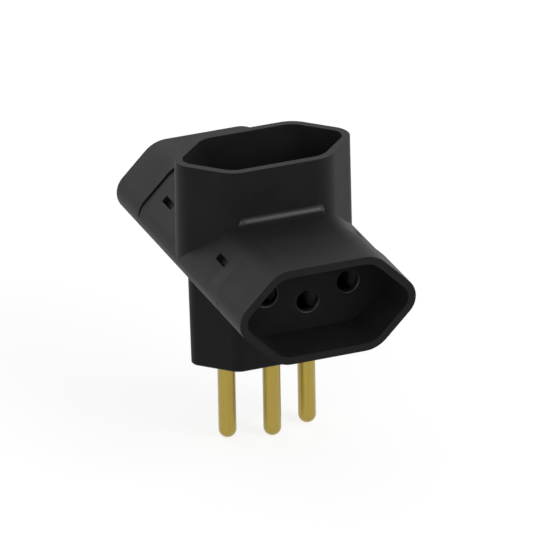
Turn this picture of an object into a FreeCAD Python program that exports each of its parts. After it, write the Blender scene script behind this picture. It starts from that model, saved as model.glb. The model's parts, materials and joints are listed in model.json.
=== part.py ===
import FreeCAD, Part
import math
import os

from FreeCAD import Vector

# Pins and poles of the plug. The earth pole stands forward of the line through the other two.
pin_spacing = 19.0
earth_offset = 3.0
pin_diameter = 4.0
pin_length = 19.3
pin_shoulder = 0.2
shoulder_proud = 0.1
collar_lip = 1.2
collar_thickness = 1.4
tail_diameter = 2.4
rivet_lip = 0.4
rivet_height = 0.7

# Plug body: an elongated hexagon with 45 degree chamfers, wrapped round the pin collars.
plug_wall = 2.0
plug_floor = 2.4
plug_flat_margin = 0.8
plug_end_radius = 2.0
plug_shoulder_radius = 4.0
plug_draft = 0.9
plug_edge_chamfer = 0.4
collar_clearance = 0.3
pin_hole_clearance = 0.05

# Outlets: a recess that takes such a plug, inside a wall of even thickness.
recess_clearance = 0.95
recess_flat_clearance = 0.75
recess_depth = 12.35
wall = 1.75
outlet_end_radius = 5.1
outlet_shoulder_radius = 7.0
side_floor = 1.4
top_floor = 1.95
hole_diameter = 4.8
hole_chamfer = 0.4

# Barrel and column. The middle of the upper shell lies a little lower than the outlets.
barrel_length = 76.0
barrel_axis_height = 26.1
saddle_drop = 0.5
ramp_inset = 1.2
ramp_length = 4.6
column_draft = 0.5
column_outset = 0.05
column_fillet = 1.7
root_fillet = 0.8

# Joint between the two shells: latch windows, snap arms, locating lips and pole barriers.
parting_gap = 0.02
seam_gap = 0.4
latch_inset = 7.85
latch_length = 5.15
latch_height = 5.35
latch_opening = 1.15
latch_clearance = 0.1
latch_depth = 1.3
snap_arm_thickness = 1.3
snap_arm_gap = 0.35
snap_arm_root = 0.4
lip_thickness = 1.0
lip_rise = 1.5
lip_clearance = 0.15
lip_end_gap = 3.0
barrier_thickness = 1.2
barrier_clearance = 0.15

# Contact strips.
strip_thickness = 0.5
strip_clearance = 0.5
fold_radius = 0.5
leaf_ease = 0.2
pinch_bite = 0.2
pinch_length = 5.0
mouth_ease = 0.6
mouth_length = 2.4
mouth_clearance = 0.6
arm_height = 6.0

# Small working values shared by the shapes.
smallest_radius = 0.3
nearness = 0.01
through = 1.0
slope_share = math.tan(math.radians(22.5))
diagonal = math.sqrt(2.0)
column_slope = math.tan(math.radians(column_draft))
plug_slope = math.tan(math.radians(plug_draft))

pole_x = pin_spacing / 2.0
pin_radius = pin_diameter / 2.0
collar_radius = pin_radius + collar_lip
shoulder_radius = pin_radius + pin_shoulder
tail_radius = tail_diameter / 2.0
hole_radius = hole_diameter / 2.0
web_height = plug_floor + collar_thickness

plug_half_height = earth_offset + collar_radius + collar_clearance + plug_wall
plug_half_flat = (pin_spacing + plug_flat_margin) / 2.0
recess_half_height = plug_half_height + recess_clearance
recess_half_flat = plug_half_flat + recess_flat_clearance

seam = barrel_length / 2.0 - recess_depth - side_floor
cavity_rise = recess_half_height - saddle_drop
column_rise = cavity_rise + top_floor + recess_depth
top_height = barrel_axis_height + column_rise
cavity_top = barrel_axis_height + cavity_rise

# Each pole has a name, a place along the line of poles and a place off that line.
poles = [("line", -pole_x, 0.0), ("neutral", pole_x, 0.0), ("earth", 0.0, -earth_offset)]


def inset(outline, distance):
    """An outline moved inwards by an even distance, or outwards where that is negative."""
    half_height, half_flat, end_radius, shoulder = outline
    return (
        half_height - distance,
        half_flat - distance * slope_share,
        max(end_radius - distance, smallest_radius),
        max(shoulder - distance, smallest_radius),
    )


def half_width(outline):
    """Half the width over the two end corners before they are rounded."""
    return outline[0] + outline[1]


# An outline is its half height, half flat width, end radius and shoulder radius.
plug_outline = (plug_half_height, plug_half_flat, plug_end_radius, plug_shoulder_radius)
outlet_outline = (
    recess_half_height + wall,
    recess_half_flat + wall * slope_share,
    outlet_end_radius,
    outlet_shoulder_radius,
)
recess_outline = inset(outlet_outline, wall)
outlet_reach = half_width(outlet_outline)
recess_reach = half_width(recess_outline)


def rounded_wire(corners, place):
    """A closed wire through corners that each carry the radius of a tangent arc."""
    joints = []
    for index, (u, v, radius) in enumerate(corners):
        corner = Vector(u, v, 0)
        before = corners[index - 1]
        after = corners[(index + 1) % len(corners)]
        back = (Vector(before[0], before[1], 0) - corner).normalize()
        forward = (Vector(after[0], after[1], 0) - corner).normalize()
        half_angle = back.getAngle(forward) / 2.0
        reach = radius / math.tan(half_angle)
        inward = (back + forward).normalize()
        middle = corner + inward * (radius / math.sin(half_angle) - radius)
        joints.append((corner + back * reach, middle, corner + forward * reach))
    edges = []
    for index, joint in enumerate(joints):
        last_end = joints[index - 1][2]
        start, middle, end = [place(point.x, point.y) for point in joint]
        if last_end.distanceToPoint(joint[0]) > nearness:
            edges.append(Part.makeLine(place(last_end.x, last_end.y), start))
        if start.distanceToPoint(end) > nearness:
            edges.append(Part.Arc(start, middle, end).toShape())
    return Part.Wire(edges)


def hexagon_wire(outline, place):
    """An elongated hexagon with rounded ends and shoulders."""
    half_height, half_flat, end_radius, shoulder = outline
    width = half_width(outline)
    corners = [
        (width, 0.0, end_radius),
        (half_flat, half_height, shoulder),
        (-half_flat, half_height, shoulder),
        (-width, 0.0, end_radius),
        (-half_flat, -half_height, shoulder),
        (half_flat, -half_height, shoulder),
    ]
    return rounded_wire(corners, place)


def across_barrel(y, drop=0.0):
    """Places an outline's points in a plane across the barrel."""
    return lambda u, v: Vector(u, y, barrel_axis_height + v - drop)


def level(z):
    """Places an outline's points in a level plane."""
    return lambda u, v: Vector(u, v, z)


def upright(y):
    """Places a profile's points in an upright plane, with heights from the plug's face."""
    return lambda u, v: Vector(u, y, v)


def barrel_prism(outline, start, end, drop=0.0):
    """An outline extruded along the barrel between two places."""
    face = Part.Face(hexagon_wire(outline, across_barrel(start, drop)))
    return face.extrude(Vector(0, end - start, 0))


def column_prism(lower_outline, upper_outline, low, high):
    """A column between two level outlines."""
    wires = [hexagon_wire(lower_outline, level(low)), hexagon_wire(upper_outline, level(high))]
    return Part.makeLoft(wires, True, True)


def block(x_range, y_range, z_range):
    """A box between pairs of limits."""
    size = [high - low for low, high in (x_range, y_range, z_range)]
    return Part.makeBox(*size, Vector(x_range[0], y_range[0], z_range[0]))


def on_side(limits, side):
    """A pair of distances from the middle, turned to one side."""
    return tuple(sorted(side * limit for limit in limits))


def joined(shapes):
    """One clean solid from several that meet."""
    return shapes[0].fuse(shapes[1:]).removeSplitter()


def pin_hole(mouth, inward, depth):
    """A round hole with a lead-in chamfer, from its mouth inwards."""
    bore = Part.makeCylinder(hole_radius, depth + through, mouth, inward)
    lead_in = Part.makeCone(hole_radius + hole_chamfer, hole_radius, hole_chamfer, mouth, inward)
    return bore.fuse(lead_in)


def end_outlet_cuts(side):
    """Recess and pin holes of the outlet at one end of the barrel."""
    floor_place = side * (seam + side_floor)
    cuts = [barrel_prism(recess_outline, floor_place, side * (barrel_length / 2.0 + through))]
    for name, x, off_line in poles:
        mouth = Vector(x, floor_place, barrel_axis_height + off_line)
        cuts.append(pin_hole(mouth, Vector(0, -side, 0), side_floor))
    return cuts


def column_outline(rise):
    """The column's outline at a height above the barrel's axis."""
    return inset(outlet_outline, rise * column_slope - column_outset)


def top_outlet_cuts():
    """Recess and pin holes of the outlet on top of the column."""
    floor_height = top_height - recess_depth
    recess = inset(column_outline(column_rise), wall)
    cuts = [column_prism(recess, recess, floor_height, top_height + through)]
    for name, x, off_line in poles:
        cuts.append(pin_hole(Vector(x, off_line, floor_height), Vector(0, 0, -1), top_floor))
    return cuts


def latch_places():
    """The four latches, as a side of the barrel and a span along it."""
    middle = seam - latch_inset
    half = latch_length / 2.0
    return [
        (side, (end * middle - half, end * middle + half)) for side in (-1, 1) for end in (-1, 1)
    ]


def under_chamfer(rise, depth):
    """A point of the barrel's section: on the saddle's chamfer at a rise, then straight in by a depth."""
    inward = depth / diagonal
    return (outlet_reach - saddle_drop - rise - inward, barrel_axis_height + rise - inward)


def latch_bar(profile, side, y_range):
    """A straight bar along one side of the barrel, with its section given as points."""
    corners = [(side * x, z, 0.0) for x, z in profile]
    face = Part.Face(rounded_wire(corners, upright(y_range[0])))
    return face.extrude(Vector(0, y_range[1] - y_range[0], 0))


def pole_barriers(room, y_range, z_range):
    """Two insulating ribs between the poles, filling the room they stand in."""
    ribs = []
    half = barrier_thickness / 2.0
    for side in (-1, 1):
        middle = side * pole_x / 2.0
        ribs.append(block((middle - half, middle + half), y_range, z_range).common(room))
    return ribs


def foot_coves(outline, height, radius, rise):
    """Concave roundings where the two flats of a column meet the barrel, above or below it."""
    half_flat = outline[1] - outline[3] * slope_share
    top = height + rise * radius
    z_range = sorted((height - rise * wall / 2.0, top))
    coves = []
    for side in (-1, 1):
        y_range = on_side((outline[0] - wall / 2.0, outline[0] + radius), side)
        middle = Vector(-half_flat, side * (outline[0] + radius), top)
        hollow = Part.makeCylinder(radius, 2 * half_flat, middle, Vector(1, 0, 0))
        coves.append(block((-half_flat, half_flat), y_range, z_range).cut(hollow))
    return coves


def upper_shell():
    """Top outlet, front outlet and the upper half of the barrel, moulded in one."""
    ramp_front = -seam + ramp_inset
    saddle_end = seam - seam_gap
    bottom = barrel_axis_height + parting_gap / 2.0
    ramp_face = Part.Face(hexagon_wire(outlet_outline, across_barrel(ramp_front)))
    saddle = joined([
        barrel_prism(outlet_outline, -seam, ramp_front),
        ramp_face.extrude(Vector(0, ramp_length, -saddle_drop)),
        barrel_prism(outlet_outline, ramp_front + ramp_length, saddle_end, saddle_drop),
    ])
    below = block((-outlet_reach, outlet_reach), (-seam, seam), (0, bottom))
    column = column_prism(
        column_outline(parting_gap / 2.0),
        column_outline(column_rise),
        bottom,
        top_height,
    )
    front = barrel_prism(outlet_outline, -barrel_length / 2.0, -seam)
    saddle_rise = outlet_outline[0] - saddle_drop
    cove_outline = column_outline(saddle_rise + column_fillet)
    coves = foot_coves(cove_outline, barrel_axis_height + saddle_rise, column_fillet, 1)
    shell = joined([front, saddle.cut(below), column] + coves)
    room = joined([
        barrel_prism(recess_outline, -seam, seam, saddle_drop),
        column_prism(recess_outline, recess_outline, barrel_axis_height, cavity_top),
    ])
    low = latch_height
    high = latch_height + latch_opening
    window = [
        under_chamfer(low, -through),
        under_chamfer(high, -through),
        under_chamfer(high, wall + snap_arm_gap),
        under_chamfer(low, wall + snap_arm_gap),
    ]
    windows = [latch_bar(window, side, y_range) for side, y_range in latch_places()]
    shell = shell.cut([room] + end_outlet_cuts(-1) + top_outlet_cuts() + windows)
    rib_bottom = barrel_axis_height + barrier_clearance
    return joined([shell] + pole_barriers(room, (-seam, saddle_end), (rib_bottom, top_height)))


def snap_arms():
    """Four springy arms that rise from the lower shell, with barbs in the latch windows."""
    outer = under_chamfer(latch_height, wall)[0] - snap_arm_gap
    inner = outer - snap_arm_thickness
    foot = barrel_axis_height + inner - recess_reach - snap_arm_root
    low = latch_height + latch_clearance / diagonal
    high = latch_height + latch_opening - latch_clearance / diagonal
    catch = under_chamfer(low, latch_depth)
    back = under_chamfer(high, wall + snap_arm_gap)
    profile = [
        (inner, foot),
        (outer, foot),
        (outer, catch[1] - (catch[0] - outer)),
        catch,
        under_chamfer(high, latch_depth),
        back,
        (inner, back[1]),
    ]
    arms = []
    for side, (start, end) in latch_places():
        arms.append(latch_bar(profile, side, (start + latch_clearance, end - latch_clearance)))
    return arms


def locating_lips():
    """Two straight lips on the lower shell that stand inside the upper shell's side walls."""
    end_radius = recess_outline[2]
    end_centre = recess_reach - end_radius * diagonal
    outer = end_centre + math.sqrt(end_radius ** 2 - (lip_rise + saddle_drop) ** 2) - lip_clearance
    inner = outer - lip_thickness
    root = math.sqrt(end_radius ** 2 - (inner - end_centre) ** 2)
    z_range = (barrel_axis_height - root - lip_clearance, barrel_axis_height + lip_rise)
    y_range = (lip_end_gap - seam, seam - lip_end_gap)
    return [block(on_side((inner, outer), side), y_range, z_range) for side in (-1, 1)]


def lower_shell():
    """Plug body, back outlet and the lower half of the barrel, moulded in one."""
    plug_top = barrel_axis_height - wall
    top = barrel_axis_height - parting_gap / 2.0
    above = block((-outlet_reach, outlet_reach), (-seam, seam), (top, top_height))
    plug = column_prism(plug_outline, inset(plug_outline, -plug_top * plug_slope), 0, plug_top)
    face_edges = [edge for edge in plug.Edges if edge.BoundBox.ZMax < nearness]
    plug = plug.makeChamfer(plug_edge_chamfer, face_edges)
    trough_bottom = barrel_axis_height - outlet_outline[0]
    cove_outline = inset(plug_outline, (root_fillet - trough_bottom) * plug_slope)
    shell = joined([
        barrel_prism(outlet_outline, seam, barrel_length / 2.0),
        barrel_prism(outlet_outline, seam_gap - seam, seam).cut(above),
        plug,
    ] + foot_coves(cove_outline, trough_bottom, root_fillet, -1))
    plug_room_outline = inset(plug_outline, plug_wall)
    room = joined([
        barrel_prism(recess_outline, -seam, seam),
        column_prism(plug_room_outline, plug_room_outline, plug_floor, barrel_axis_height),
    ])
    pin_holes = []
    for name, x, y in poles:
        start = Vector(x, y, -through)
        pin_holes.append(
            Part.makeCylinder(shoulder_radius + pin_hole_clearance, plug_floor + 2 * through, start)
        )
    shell = shell.cut([room] + end_outlet_cuts(1) + pin_holes)
    rib_front = seam_gap + barrier_clearance - seam
    rib_top = barrel_axis_height - barrier_clearance
    ribs = pole_barriers(room, (rib_front, seam), (0, rib_top))
    return joined([shell] + ribs + snap_arms() + locating_lips())


def plug_pin(x, y):
    """A turned pin: round tip, shank, shoulder in the plug floor, collar and riveted tail."""
    strip_top = web_height + strip_thickness
    tail_end = strip_top + rivet_height
    corners = [
        (0.0, -pin_length, 0.0),
        (pin_radius, -pin_length, pin_radius),
        (pin_radius, -shoulder_proud, 0.0),
        (shoulder_radius, -shoulder_proud, 0.0),
        (shoulder_radius, plug_floor, 0.0),
        (collar_radius, plug_floor, 0.0),
        (collar_radius, web_height, 0.0),
        (tail_radius, web_height, 0.0),
        (tail_radius, strip_top, 0.0),
        (tail_radius + rivet_lip, strip_top, 0.0),
        (tail_radius + rivet_lip, tail_end, 0.0),
        (0.0, tail_end, 0.0),
    ]
    profile = Part.Face(rounded_wire(corners, upright(0.0)))
    pin = profile.revolve(Vector(0, 0, 0), Vector(0, 0, 1), 360)
    pin.translate(Vector(x, y, 0))
    return pin


def spring_leaf(end):
    """Inner side of a leaf on its way to an outlet, as pairs of half gap and place."""
    pinch = end - mouth_length
    return [
        (pin_radius + leaf_ease, pinch - pinch_length),
        (pin_radius - pinch_bite, pinch),
        (pin_radius + mouth_ease, end),
    ]


def contact_strip(x, y, arm_rise):
    """One folded brass strip: a web on the pin's collar and two leaves with three pairs of jaws."""
    rest_half = pin_radius + leaf_ease
    outer_half = rest_half + strip_thickness
    plug_reach = half_width(inset(plug_outline, plug_wall))
    stem_half = plug_reach - pole_x - outer_half - strip_clearance * diagonal
    rise = spring_leaf(cavity_top - mouth_clearance)
    fall = rise[::-1]
    corners = [(half, place, 0.0) for half, place in fall]
    corners.append((rest_half, web_height + strip_thickness, fold_radius))
    corners.append((-rest_half, web_height + strip_thickness, fold_radius))
    corners += [(-half, place, 0.0) for half, place in rise]
    corners += [(-half - strip_thickness, place, 0.0) for half, place in fall]
    corners.append((-outer_half, web_height, fold_radius + strip_thickness))
    corners.append((outer_half, web_height, fold_radius + strip_thickness))
    corners += [(half + strip_thickness, place, 0.0) for half, place in rise]
    stem_face = Part.Face(rounded_wire(corners, upright(-stem_half)))
    stem = stem_face.extrude(Vector(0, 2 * stem_half, 0))
    stem.translate(Vector(x, y, 0))
    leaf = spring_leaf(seam - mouth_clearance)
    run = [(half, -place) for half, place in leaf[::-1]] + leaf
    arms = []
    for side in (-1, 1):
        corners = [(side * half, place, 0.0) for half, place in run]
        corners += [(side * (half + strip_thickness), place, 0.0) for half, place in run[::-1]]
        arm_low = barrel_axis_height + arm_rise - arm_height / 2.0
        arm = Part.Face(rounded_wire(corners, level(arm_low))).extrude(Vector(0, 0, arm_height))
        arm.translate(Vector(x, 0, 0))
        arms.append(arm)
    tail_hole = Part.makeCylinder(
        tail_radius + pin_hole_clearance, 2 * strip_thickness, Vector(x, y, web_height - nearness)
    )
    return joined([stem] + arms).cut(tail_hole)


nodes = {"upper_shell": upper_shell(), "lower_shell": lower_shell()}
for pole, x, off_line in poles:
    nodes[pole + "_pin"] = plug_pin(x, off_line)
    nodes[pole + "_contact"] = contact_strip(x, off_line, off_line)

os.makedirs("parts", exist_ok=True)
for name, shape in nodes.items():
    shape.exportStep("parts/" + name + ".step")
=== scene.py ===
import json
import math

import bmesh
import bpy
from mathutils import Euler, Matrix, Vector


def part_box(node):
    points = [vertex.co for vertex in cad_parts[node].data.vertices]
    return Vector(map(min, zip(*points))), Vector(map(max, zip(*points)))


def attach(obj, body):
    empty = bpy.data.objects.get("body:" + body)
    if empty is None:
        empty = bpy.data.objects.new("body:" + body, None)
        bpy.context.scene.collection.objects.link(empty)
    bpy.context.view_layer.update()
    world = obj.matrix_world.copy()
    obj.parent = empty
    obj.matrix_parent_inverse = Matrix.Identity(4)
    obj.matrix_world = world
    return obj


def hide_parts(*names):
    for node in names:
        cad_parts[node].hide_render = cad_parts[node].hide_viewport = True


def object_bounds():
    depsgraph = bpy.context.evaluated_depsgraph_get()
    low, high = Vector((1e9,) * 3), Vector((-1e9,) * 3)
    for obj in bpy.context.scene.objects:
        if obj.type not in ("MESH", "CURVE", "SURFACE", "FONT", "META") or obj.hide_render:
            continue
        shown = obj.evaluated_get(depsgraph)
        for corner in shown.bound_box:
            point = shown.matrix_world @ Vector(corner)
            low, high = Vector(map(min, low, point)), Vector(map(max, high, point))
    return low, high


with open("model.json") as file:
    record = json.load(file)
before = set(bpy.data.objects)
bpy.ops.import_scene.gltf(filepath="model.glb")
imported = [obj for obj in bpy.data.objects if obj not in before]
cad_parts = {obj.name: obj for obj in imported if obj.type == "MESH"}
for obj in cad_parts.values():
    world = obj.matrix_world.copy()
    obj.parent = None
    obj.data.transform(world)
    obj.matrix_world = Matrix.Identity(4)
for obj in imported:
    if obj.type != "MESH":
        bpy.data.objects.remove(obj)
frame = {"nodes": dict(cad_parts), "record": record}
cad_box = [list(corner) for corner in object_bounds()]


# Contact strips. Three strips of tinned spring brass, blanked and folded to a U, one for each pole.
# They lie in the lower shell on the pins' collars, and their leaves stand behind the outlets' holes.
# Rolling leaves fine lines along the strip, and the tin dulls to a soft grey.
noise_low = 0.3
noise_high = 0.7
dull_tin = (0.50, 0.49, 0.47)
fresh_tin = (0.66, 0.65, 0.63)


def add(tree, kind, inputs=None, **settings):
    """A node with its settings, whose inputs are given as plain values or as other nodes' outputs."""
    node = tree.nodes.new(kind)
    for name, value in settings.items():
        setattr(node, name, value)
    for name, value in (inputs or {}).items():
        if isinstance(value, bpy.types.NodeSocket):
            tree.links.new(value, node.inputs[name])
        else:
            node.inputs[name].default_value = value
    return node


def fresh_material(name):
    """An empty material's tree, with its surface shader already joined to the output."""
    material = bpy.data.materials.new(name)
    material.use_nodes = True
    tree = material.node_tree
    tree.nodes.clear()
    shader = add(tree, "ShaderNodeBsdfPrincipled")
    add(tree, "ShaderNodeOutputMaterial", {"Surface": shader.outputs["BSDF"]})
    return material, tree, shader


def speckle(tree, scale, detail=2.0):
    """Noise on the piece's own coordinates, with a scale for each axis in features per metre."""
    place = add(tree, "ShaderNodeTexCoord")
    spread = add(tree, "ShaderNodeMapping", {"Vector": place.outputs["Object"], "Scale": scale})
    noise = add(tree, "ShaderNodeTexNoise", {"Scale": 1.0, "Detail": detail})
    tree.links.new(spread.outputs["Vector"], noise.inputs["Vector"])
    return noise.outputs["Fac"]


def between(tree, value, low, high):
    """A noise value, which mostly lies from noise_low to noise_high, spread over another range."""
    ends = {"From Min": noise_low, "From Max": noise_high, "To Min": low, "To Max": high}
    spread = add(tree, "ShaderNodeMapRange", ends)
    tree.links.new(value, spread.inputs["Value"])
    return spread.outputs["Result"]


def tint(tree, value, first, second):
    """A colour between two others, along a noise value."""
    ramp = add(tree, "ShaderNodeValToRGB", {"Fac": value})
    start, end = ramp.color_ramp.elements
    start.position = noise_low
    start.color = (*first, 1.0)
    end.position = noise_high
    end.color = (*second, 1.0)
    return ramp.outputs["Color"]


def dress(node, material):
    """A CAD piece's own finish, in place of the plain one that it comes with."""
    finishes = frame["nodes"][node].data.materials
    finishes.clear()
    finishes.append(material)


tinned_brass, tree, shader = fresh_material("tinned_brass")
rolling = speckle(tree, (6000.0, 90.0, 6000.0))
dulling = speckle(tree, (260.0, 260.0, 260.0), detail=4.0)
tree.links.new(tint(tree, dulling, dull_tin, fresh_tin), shader.inputs["Base Color"])
tree.links.new(between(tree, rolling, low=0.28, high=0.42), shader.inputs["Roughness"])
shader.inputs["Metallic"].default_value = 1.0
scored = add(tree, "ShaderNodeBump", {"Height": rolling, "Strength": 0.5, "Distance": 0.000004})
tree.links.new(scored.outputs["Normal"], shader.inputs["Normal"])
for strip in ("line_contact", "neutral_contact", "earth_contact"):
    dress(strip, tinned_brass)


# Plug pins. Three round pins of solid brass, turned from drawn rod with ball-shaped tips.
# A shoulder and a collar hold each pin in the plug's floor, and its tail is riveted over the contact strip.
# The drawn rod keeps its lengthwise lines under a clear lacquer, and the metal has an even olive-gold cast.
olive_gold = (0.335, 0.243, 0.014)
light_gold = (0.385, 0.290, 0.028)
brown_cast = (0.31, 0.20, 0.035)
drawn_brass, tree, shader = fresh_material("drawn_brass")
drawn = speckle(tree, (2600.0, 2600.0, 35.0), detail=3.0)
lines = speckle(tree, (9000.0, 9000.0, 110.0))
cast = speckle(tree, (220.0, 220.0, 140.0), detail=4.0)
browned = add(tree, "ShaderNodeMix", {"Factor": between(tree, cast, low=0.0, high=0.35)}, data_type="RGBA")
tree.links.new(tint(tree, drawn, olive_gold, light_gold), browned.inputs["A"])
browned.inputs["B"].default_value = (*brown_cast, 1.0)
tree.links.new(browned.outputs["Result"], shader.inputs["Base Color"])
tree.links.new(between(tree, drawn, low=0.42, high=0.5), shader.inputs["Roughness"])
shader.inputs["Metallic"].default_value = 1.0
shader.inputs["Coat Weight"].default_value = 1.0
shader.inputs["Coat Roughness"].default_value = 0.3
scored = add(tree, "ShaderNodeBump", {"Height": lines, "Strength": 0.35, "Distance": 0.000005})
tree.links.new(scored.outputs["Normal"], shader.inputs["Normal"])
mm_per_metre = 1000.0
round_sides = 72
fold_angle = math.radians(30.0)
pin_names = ("line_pin", "neutral_pin", "earth_pin")
pin_lengths = ("Pin", "Shoulder", "Collar", "Tail", "Rivet")


def turned_length():
    """Tree of one turned length of a pin: a round bar from its bottom to its top, its lower edge rounded."""
    tree = bpy.data.node_groups.new("turned_length", "GeometryNodeTree")
    for name in ("Radius", "Bottom", "Top", "Rounding"):
        tree.interface.new_socket(name=name, in_out="INPUT", socket_type="NodeSocketFloat")
    tree.interface.new_socket(name="Turned bar", in_out="OUTPUT", socket_type="NodeSocketGeometry")
    size = add(tree, "NodeGroupInput").outputs
    arc_rings = 16
    straight_rings = 23

    def reckon(operation, first, second=0.0):
        return add(tree, "ShaderNodeMath", {0: first, 1: second}, operation=operation).outputs["Value"]

    ring = add(tree, "GeometryNodeInputIndex").outputs["Index"]
    turn = reckon("MULTIPLY", reckon("MINIMUM", reckon("DIVIDE", ring, arc_rings), 1.0), math.pi / 2.0)
    arc_rise = reckon("MULTIPLY", reckon("SUBTRACT", 1.0, reckon("COSINE", turn)), size["Rounding"])
    past_arc = reckon("MAXIMUM", reckon("SUBTRACT", ring, arc_rings), 0.0)
    straight = reckon("SUBTRACT", reckon("SUBTRACT", size["Top"], size["Bottom"]), size["Rounding"])
    straight_rise = reckon("MULTIPLY", reckon("DIVIDE", past_arc, straight_rings), straight)
    height = reckon("ADD", reckon("ADD", size["Bottom"], arc_rise), straight_rise)
    arc_reach = reckon("MULTIPLY", reckon("SINE", turn), size["Rounding"])
    reach = reckon("ADD", reckon("SUBTRACT", size["Radius"], size["Rounding"]), arc_reach)
    axis = add(tree, "GeometryNodeCurvePrimitiveLine", {"End": (0.0, 0.0, 1.0)})
    stations = add(tree, "GeometryNodeResampleCurve", {"Count": arc_rings + straight_rings + 1})
    tree.links.new(axis.outputs["Curve"], stations.inputs["Curve"])
    spot = add(tree, "ShaderNodeCombineXYZ", {"Z": height})
    spaced = add(tree, "GeometryNodeSetPosition", {"Position": spot.outputs["Vector"]})
    tree.links.new(stations.outputs["Curve"], spaced.inputs["Geometry"])
    circle = add(tree, "GeometryNodeCurvePrimitiveCircle", {"Resolution": round_sides, "Radius": 1.0})
    skin = add(tree, "GeometryNodeCurveToMesh", {"Scale": reach, "Fill Caps": True})
    tree.links.new(spaced.outputs["Geometry"], skin.inputs["Curve"])
    tree.links.new(circle.outputs["Curve"], skin.inputs["Profile Curve"])
    closed = add(tree, "GeometryNodeMergeByDistance", {"Distance": 0.0000005})
    tree.links.new(skin.outputs["Mesh"], closed.inputs["Geometry"])
    add(tree, "NodeGroupOutput", {"Turned bar": closed.outputs["Geometry"]})
    return tree


def faired(tree, geometry):
    """A tree's geometry, shaded smooth over the folds that are gentler than fold_angle."""
    fold = add(tree, "GeometryNodeInputMeshEdgeAngle").outputs["Unsigned Angle"]
    gentle = add(tree, "FunctionNodeCompare", {"A": fold, "B": fold_angle}, operation="LESS_THAN")
    shaded = add(tree, "GeometryNodeSetShadeSmooth", {"Geometry": geometry}, domain="EDGE")
    tree.links.new(gentle.outputs["Result"], shaded.inputs["Shade Smooth"])
    return shaded.outputs["Geometry"]


def set_out(tree, copies, material):
    """A tree's instances as real geometry, in one material."""
    real = add(tree, "GeometryNodeRealizeInstances", {"Geometry": copies})
    coloured = add(tree, "GeometryNodeSetMaterial", {"Material": material})
    tree.links.new(real.outputs["Geometry"], coloured.inputs["Geometry"])
    return coloured.outputs["Geometry"]


def riveted_pins():
    """Tree that joins a pin's turned lengths and sets one such pin at each pole."""
    tree = bpy.data.node_groups.new("riveted_pins", "GeometryNodeTree")
    tree.interface.new_socket(name="Poles", in_out="INPUT", socket_type="NodeSocketGeometry")
    for length in pin_lengths:
        for measure in ("radius", "bottom", "rounding"):
            name = length + " " + measure
            tree.interface.new_socket(name=name, in_out="INPUT", socket_type="NodeSocketFloat")
    tree.interface.new_socket(name="Rivet top", in_out="INPUT", socket_type="NodeSocketFloat")
    tree.interface.new_socket(name="Brass", in_out="INPUT", socket_type="NodeSocketMaterial")
    tree.interface.new_socket(name="Pins", in_out="OUTPUT", socket_type="NodeSocketGeometry")
    size = add(tree, "NodeGroupInput").outputs
    tops = [size[length + " bottom"] for length in pin_lengths[1:]] + [size["Rivet top"]]
    turning = turned_length()
    pin = add(tree, "GeometryNodeJoinGeometry")
    for length, top in zip(pin_lengths, tops):
        bar = add(tree, "GeometryNodeGroup", node_tree=turning)
        tree.links.new(size[length + " radius"], bar.inputs["Radius"])
        tree.links.new(size[length + " bottom"], bar.inputs["Bottom"])
        tree.links.new(top, bar.inputs["Top"])
        tree.links.new(size[length + " rounding"], bar.inputs["Rounding"])
        tree.links.new(bar.outputs["Turned bar"], pin.inputs["Geometry"])
    pins = add(tree, "GeometryNodeInstanceOnPoints", {"Points": size["Poles"]})
    tree.links.new(faired(tree, pin.outputs["Geometry"]), pins.inputs["Instance"])
    add(tree, "NodeGroupOutput", {"Pins": set_out(tree, pins.outputs["Instances"], size["Brass"])})
    return tree


def grown(name, points, tree, sizes):
    """A plain mesh piece of what a tree makes on some points, with the tree's named inputs set."""
    maker = bpy.data.objects.new(name + "_in_making", points)
    bpy.context.scene.collection.objects.link(maker)
    growth = maker.modifiers.new(tree.name, "NODES")
    growth.node_group = tree
    for socket in tree.interface.items_tree:
        if socket.name in sizes:
            growth[socket.identifier] = sizes[socket.name]
    finished = maker.evaluated_get(bpy.context.evaluated_depsgraph_get())
    piece = bpy.data.objects.new(name, bpy.data.meshes.new_from_object(finished))
    bpy.data.objects.remove(maker)
    bpy.context.scene.collection.objects.link(piece)
    return piece


pin_mount = next(mount for mount in frame["record"]["mounts"] if mount["name"] == "line_pin")
pin_radius = pin_mount["dims"]["r_mm"] / mm_per_metre
pin_low, pin_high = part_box("line_pin")
poles = []
for name in pin_names:
    low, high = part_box(name)
    poles.append(((low[0] + high[0]) / 2.0, (low[1] + high[1]) / 2.0, 0.0))
pole_points = bpy.data.meshes.new("pole_points")
pole_points.from_pydata(poles, [], [])
pin_sizes = {
    "Pin radius": pin_radius,
    "Pin bottom": pin_low[2],
    "Pin rounding": pin_radius,
    "Shoulder radius": 0.0022,
    "Shoulder bottom": -0.0001,
    "Shoulder rounding": 0.00005,
    "Collar radius": (pin_high[0] - pin_low[0]) / 2.0,
    "Collar bottom": 0.0024,
    "Collar rounding": 0.0001,
    "Tail radius": 0.0012,
    "Tail bottom": 0.0038,
    "Tail rounding": 0.00002,
    "Rivet radius": 0.0016,
    "Rivet bottom": 0.0043,
    "Rivet rounding": 0.0002,
    "Rivet top": pin_high[2],
    "Brass": drawn_brass,
}
pins = grown("plug_pins", pole_points, riveted_pins(), pin_sizes)
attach(pins, "root")
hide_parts(*pin_names)


# Lower shell. Plug body, back outlet and the under half of the cross barrel, one black injection moulding.
# The pins stand in its floor, and four springy arms rise from it to hold the upper shell.
# The steel mould's fine spark finish leaves a satin skin with no grain to be seen from arm's length.
deep_black = (0.0105, 0.0105, 0.0108)
soft_black = (0.0135, 0.0135, 0.0137)


def black_plastic(name):
    """A material of the shells' plastic, its tree and shader, and the faint streaks of its flow."""
    material, tree, shader = fresh_material(name)
    flow = speckle(tree, (160.0, 160.0, 160.0), detail=3.0)
    tree.links.new(tint(tree, flow, deep_black, soft_black), shader.inputs["Base Color"])
    return material, tree, shader, flow


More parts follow.
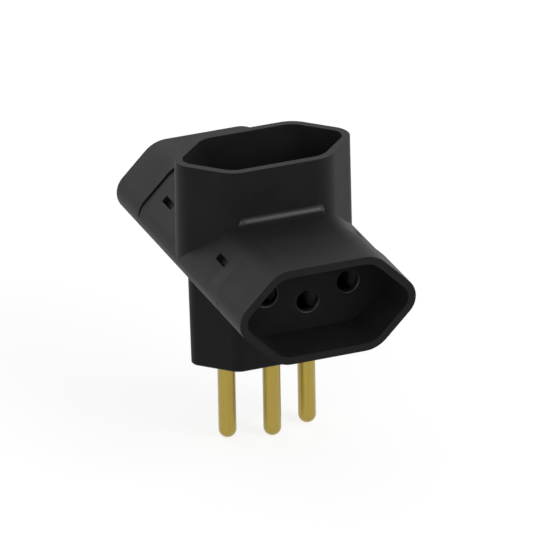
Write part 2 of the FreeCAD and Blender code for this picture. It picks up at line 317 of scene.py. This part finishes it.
moulded_black, tree, shader, flow = black_plastic("moulded_black")
spark = speckle(tree, (9000.0, 9000.0, 9000.0), detail=3.0)
satin = between(tree, flow, low=0.58, high=0.63)
sheen = add(tree, "ShaderNodeMath", {0: between(tree, spark, low=-0.03, high=0.03), 1: satin})
tree.links.new(sheen.outputs["Value"], shader.inputs["Roughness"])
shader.inputs["Specular Tint"].default_value = (0.1, 0.1, 0.1, 1.0)
eased = add(tree, "ShaderNodeBevel", {"Radius": 0.00008}, samples=6)
pitted = add(tree, "ShaderNodeBump", {"Height": spark, "Strength": 0.35, "Distance": 0.000006})
tree.links.new(eased.outputs["Normal"], pitted.inputs["Normal"])
tree.links.new(pitted.outputs["Normal"], shader.inputs["Normal"])
dress("lower_shell", moulded_black)


# Upper shell. Top outlet, front outlet and the upper half of the barrel, moulded in the same black plastic.
# It is pressed down over the lower shell until the arms' barbs spring into its four small windows.
dress("upper_shell", moulded_black)


# Roundings at the column's foot, one before the column and one behind it, in the upper shell's own plastic.
# A ball-nosed cutter left their upper part smoother, and ran on a little way round the column's corners.
polished_black, tree, shader, flow = black_plastic("polished_black")
tree.links.new(between(tree, flow, low=0.3, high=0.34), shader.inputs["Roughness"])
shader.inputs["Specular Tint"].default_value = (0.6, 0.6, 0.6, 1.0)
foot_finishes = (polished_black, moulded_black)
foot_radius = 0.00185
column_front = 0.01114
column_flat = 0.008475
corner_radius = 0.007
saddle_top = 0.0368
run_on = 0.0017
last_turn = math.radians(88.0)
sunk = 0.0002
arc_steps = 18
polished_steps = 10
run_on_steps = 12


def foot_section(past, radius):
    """Points round a rounding's section, at a place past the end of the column's flat."""
    reach = math.sqrt((corner_radius + radius) ** 2 - past ** 2)
    before_column = corner_radius - column_front - reach
    over_saddle = saddle_top - corner_radius + reach
    middle = Vector((column_flat + past, before_column, over_saddle))
    to_column = Vector((-past, reach, 0.0)).normalized()
    to_saddle = Vector((-past, 0.0, -reach)).normalized()
    arc = [middle + radius * to_column.slerp(to_saddle, step / arc_steps) for step in range(arc_steps + 1)]
    corner = (to_column + to_saddle) / (1.0 + to_column.dot(to_saddle))
    return arc + [arc[-1] + sunk * to_saddle, middle + (radius + sunk) * corner, arc[0] + sunk * to_column]


def foot_rounding(shape, side):
    """One rounding before the column or behind it, which thins out round the corners at its two ends."""
    left_half = [(-1.0, step) for step in range(run_on_steps, -1, -1)]
    right_half = [(1.0, step) for step in range(run_on_steps + 1)]
    rings = []
    for hand, step in left_half + right_half:
        turn = last_turn * step / run_on_steps
        section = foot_section(run_on * math.sqrt(math.sin(turn)), foot_radius * math.sqrt(math.cos(turn)))
        rings.append([shape.verts.new((hand * spot.x, side * spot.y, spot.z)) for spot in section])
    for ring, after in zip(rings, rings[1:]):
        for index in range(len(ring)):
            face = shape.faces.new((ring[index - 1], ring[index], after[index], after[index - 1]))
            finish = polished_black if index <= polished_steps else moulded_black
            face.material_index = foot_finishes.index(finish)
    shape.faces.new(rings[0])
    shape.faces.new(rings[-1])


shape = bmesh.new()
foot_rounding(shape, 1.0)
foot_rounding(shape, -1.0)
bmesh.ops.recalc_face_normals(shape, faces=shape.faces)
for face in shape.faces:
    face.smooth = True
roundings_mesh = bpy.data.meshes.new("foot_roundings")
shape.to_mesh(roundings_mesh)
shape.free()
roundings_mesh.set_sharp_from_angle(angle=fold_angle)
for finish in foot_finishes:
    roundings_mesh.materials.append(finish)
roundings = bpy.data.objects.new("foot_roundings", roundings_mesh)
bpy.context.scene.collection.objects.link(roundings)
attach(roundings, "root")


# Rims of the pin holes. The mouths of the nine holes are rounded, so that a pin finds its way in.
# They are the shells' own plastic, and hard, polished core pins shape them in the mould.
# So they are smoother than the recess floors round them.
rim_rounding = 0.0004


def rounded_rims():
    """Tree that turns a quarter-round rim and sets one at each hole's mouth, square to the hole."""
    tree = bpy.data.node_groups.new("rounded_rims", "GeometryNodeTree")
    tree.interface.new_socket(name="Mouths", in_out="INPUT", socket_type="NodeSocketGeometry")
    for name in ("Hole radius", "Rounding"):
        tree.interface.new_socket(name=name, in_out="INPUT", socket_type="NodeSocketFloat")
    tree.interface.new_socket(name="Plastic", in_out="INPUT", socket_type="NodeSocketMaterial")
    tree.interface.new_socket(name="Rims", in_out="OUTPUT", socket_type="NodeSocketGeometry")
    size = add(tree, "NodeGroupInput").outputs
    reach = add(tree, "ShaderNodeMath", {0: size["Hole radius"], 1: size["Rounding"]})
    path = add(tree, "GeometryNodeCurvePrimitiveCircle", {"Resolution": round_sides})
    tree.links.new(reach.outputs["Value"], path.inputs["Radius"])
    section = add(tree, "GeometryNodeCurveArc", {"Resolution": 10, "Radius": size["Rounding"]})
    section.inputs["Start Angle"].default_value = math.radians(180.0)
    section.inputs["Sweep Angle"].default_value = math.radians(90.0)
    section.inputs["Connect Center"].default_value = True
    rim = add(tree, "GeometryNodeCurveToMesh", {"Curve": path.outputs["Curve"]})
    tree.links.new(section.outputs["Curve"], rim.inputs["Profile Curve"])
    depth = add(tree, "ShaderNodeMath", {0: size["Rounding"], 1: -1.0}, operation="MULTIPLY")
    inward = add(tree, "ShaderNodeCombineXYZ", {"Z": depth.outputs["Value"]})
    seated = add(tree, "GeometryNodeTransform", {"Translation": inward.outputs["Vector"]})
    tree.links.new(rim.outputs["Mesh"], seated.inputs["Geometry"])
    axis = add(tree, "GeometryNodeInputNamedAttribute", {"Name": "axis"}, data_type="FLOAT_VECTOR")
    facing = add(tree, "FunctionNodeAlignRotationToVector", {"Vector": axis.outputs["Attribute"]}, axis="Z")
    rims = add(tree, "GeometryNodeInstanceOnPoints", {"Points": size["Mouths"]})
    tree.links.new(faired(tree, seated.outputs["Geometry"]), rims.inputs["Instance"])
    tree.links.new(facing.outputs["Rotation"], rims.inputs["Rotation"])
    add(tree, "NodeGroupOutput", {"Rims": set_out(tree, rims.outputs["Instances"], size["Plastic"])})
    return tree


holes = [mount for mount in frame["record"]["mounts"] if mount["name"].endswith("_hole")]
hole_radius = holes[0]["dims"]["r_mm"] / mm_per_metre
mouths = []
for hole in holes:
    to_mouth = hole["dims"]["length_mm"] / mm_per_metre / 2.0 + rim_rounding
    mouths.append(Vector(hole["pos_m"]) + to_mouth * Vector(hole["axis"]))
mouth_points = bpy.data.meshes.new("mouth_points")
mouth_points.from_pydata(mouths, [], [])
facings = mouth_points.attributes.new("axis", "FLOAT_VECTOR", "POINT")
for facing, hole in zip(facings.data, holes):
    facing.vector = hole["axis"]
rim_sizes = {"Hole radius": hole_radius, "Rounding": rim_rounding, "Plastic": polished_black}
rims = grown("hole_rims", mouth_points, rounded_rims(), rim_sizes)
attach(rims, "root")


# Studio. A wide pale floor under the pin tips, white light all round and three soft lamps.
# The main lamp stands at the front right, where the roundings catch it.
# Two weaker lamps stand low, one at the left and one behind.
floor_mesh = bpy.data.meshes.new("studio_floor")
outline = bmesh.new()
bmesh.ops.create_circle(outline, cap_ends=True, radius=5.0, segments=96)
for corner in outline.verts:
    corner.co.z = cad_box[0][2]
outline.to_mesh(floor_mesh)
outline.free()
floor = bpy.data.objects.new("studio_floor", floor_mesh)
bpy.context.scene.collection.objects.link(floor)
pale = bpy.data.materials.new("pale_floor")
pale.use_nodes = True
tree = pale.node_tree
tree.nodes.clear()


def seen_directly(tree):
    """1 for rays that show the background in the view, metal or gloss, and 0 for those that only light."""
    path = add(tree, "ShaderNodeLightPath").outputs
    view_or_gloss = {0: path["Is Camera Ray"], 1: path["Is Glossy Ray"]}
    either = add(tree, "ShaderNodeMath", view_or_gloss, operation="MAXIMUM")
    seen = add(tree, "ShaderNodeMath", {1: path["Is Transmission Ray"]}, operation="MAXIMUM")
    tree.links.new(either.outputs["Value"], seen.inputs[0])
    return seen.outputs["Value"]


matt = add(tree, "ShaderNodeBsdfDiffuse", {"Color": (0.3, 0.3, 0.3, 1.0)})
glow = add(tree, "ShaderNodeEmission", {"Color": (1.0, 1.0, 1.0, 1.0), "Strength": 0.78})
lit = add(tree, "ShaderNodeAddShader", {0: matt.outputs["BSDF"], 1: glow.outputs["Emission"]})
bounce = add(tree, "ShaderNodeBsdfDiffuse", {"Color": (0.5, 0.5, 0.5, 1.0)})
floor_looks = {0: seen_directly(tree), 1: bounce.outputs["BSDF"], 2: lit.outputs["Shader"]}
floor_look = add(tree, "ShaderNodeMixShader", floor_looks)
add(tree, "ShaderNodeOutputMaterial", {"Surface": floor_look.outputs["Shader"]})
floor.data.materials.append(pale)
world = bpy.data.worlds.new("white_studio")
bpy.context.scene.world = world
world.use_nodes = True
tree = world.node_tree
tree.nodes.clear()
level = add(tree, "ShaderNodeMapRange", {"Value": seen_directly(tree), "To Min": 0.5, "To Max": 1.0})
sky = add(tree, "ShaderNodeBackground", {"Color": (1.0, 1.0, 1.0, 1.0), "Strength": level.outputs["Result"]})
add(tree, "ShaderNodeOutputWorld", {"Surface": sky.outputs["Background"]})
lit_point = Vector((0.0, 0.0, 0.03))


def soft_lamp(name, tilt, turn, distance, width, height, watts):
    """An oval lamp that the camera doesn't see, tilted from overhead to the front and turned aside."""
    light = bpy.data.lights.new(name, "AREA")
    light.shape = "ELLIPSE"
    light.size = width
    light.size_y = height
    light.energy = watts
    lamp = bpy.data.objects.new(name, light)
    aim = Euler((math.radians(tilt), math.radians(turn), 0.0), "YXZ")
    lamp.rotation_mode = "YXZ"
    lamp.rotation_euler = aim
    lamp.location = lit_point + aim.to_matrix() @ Vector((0.0, 0.0, distance))
    lamp.visible_camera = False
    bpy.context.scene.collection.objects.link(lamp)


soft_lamp("front_panel", tilt=53.0, turn=28.0, distance=1.25, width=0.8, height=0.8, watts=6.2)
soft_lamp("left_fill", tilt=72.0, turn=-43.0, distance=1.25, width=0.8, height=0.8, watts=3.5)
soft_lamp("back_panel", tilt=-66.0, turn=-12.0, distance=1.2, width=1.5, height=0.6, watts=3.2)


# Camera. A long lens from the front and a little to the left, looking down at the adapter.
# Its place and its tilt were fitted to the pins, the outlets' rims and the front outlet's holes.
lens = bpy.data.cameras.new("camera")
lens.lens = 523.701
lens.sensor_width = 36.0
lens.sensor_fit = "HORIZONTAL"
camera = bpy.data.objects.new("camera", lens)
camera.location = (-0.584187, -1.520155, 0.77698)
camera.rotation_euler = [math.radians(angle) for angle in (64.98455, 0.89436, -21.55666)]
bpy.context.scene.collection.objects.link(camera)
bpy.context.scene.camera = camera
bpy.context.scene.view_settings.view_transform = "Standard"
